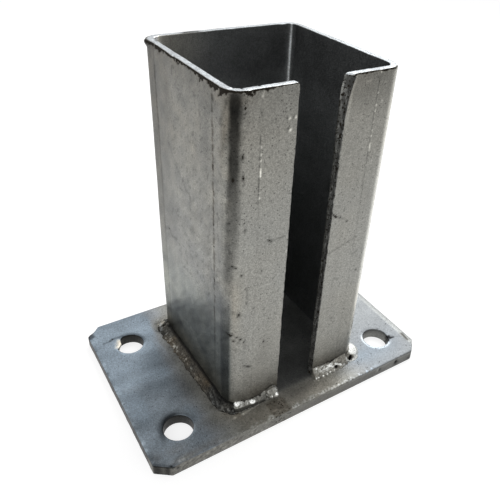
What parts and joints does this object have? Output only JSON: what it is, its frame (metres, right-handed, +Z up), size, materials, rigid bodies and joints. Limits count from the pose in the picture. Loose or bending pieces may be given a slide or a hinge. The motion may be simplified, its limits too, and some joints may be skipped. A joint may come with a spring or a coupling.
{
  "type": "fence post base",
  "caption": "Bolt-down base for a square fence post: slotted folded steel sleeve welded to a flat drilled plate.",
  "frame": {"origin": "centre of the plate's underside", "axes": "+Z up along the sleeve, +X along the plate's long side, -Y towards the sleeve's slot"},
  "size_m": [0.2, 0.13, 0.208],
  "materials": {
    "galvanised_plate": "hot-dip galvanised, dull and mottled",
    "galvanised_sheet": "hot-dip galvanised, dull, with press marks beside the folds",
    "weld_rusty": "as welded, brown stain under thin zinc",
    "weld_bright": "as welded, crusty bright zinc"
  },
  "bodies": {
    "root": {"base_plate": "galvanised_plate", "post_sleeve": "galvanised_sheet", "weld_left_side": "weld_rusty", "weld_right_side": "weld_bright", "weld_front_left": "weld_bright", "weld_front_right": "weld_bright", "weld_back": "weld_rusty"}
  },
  "joints": []
}
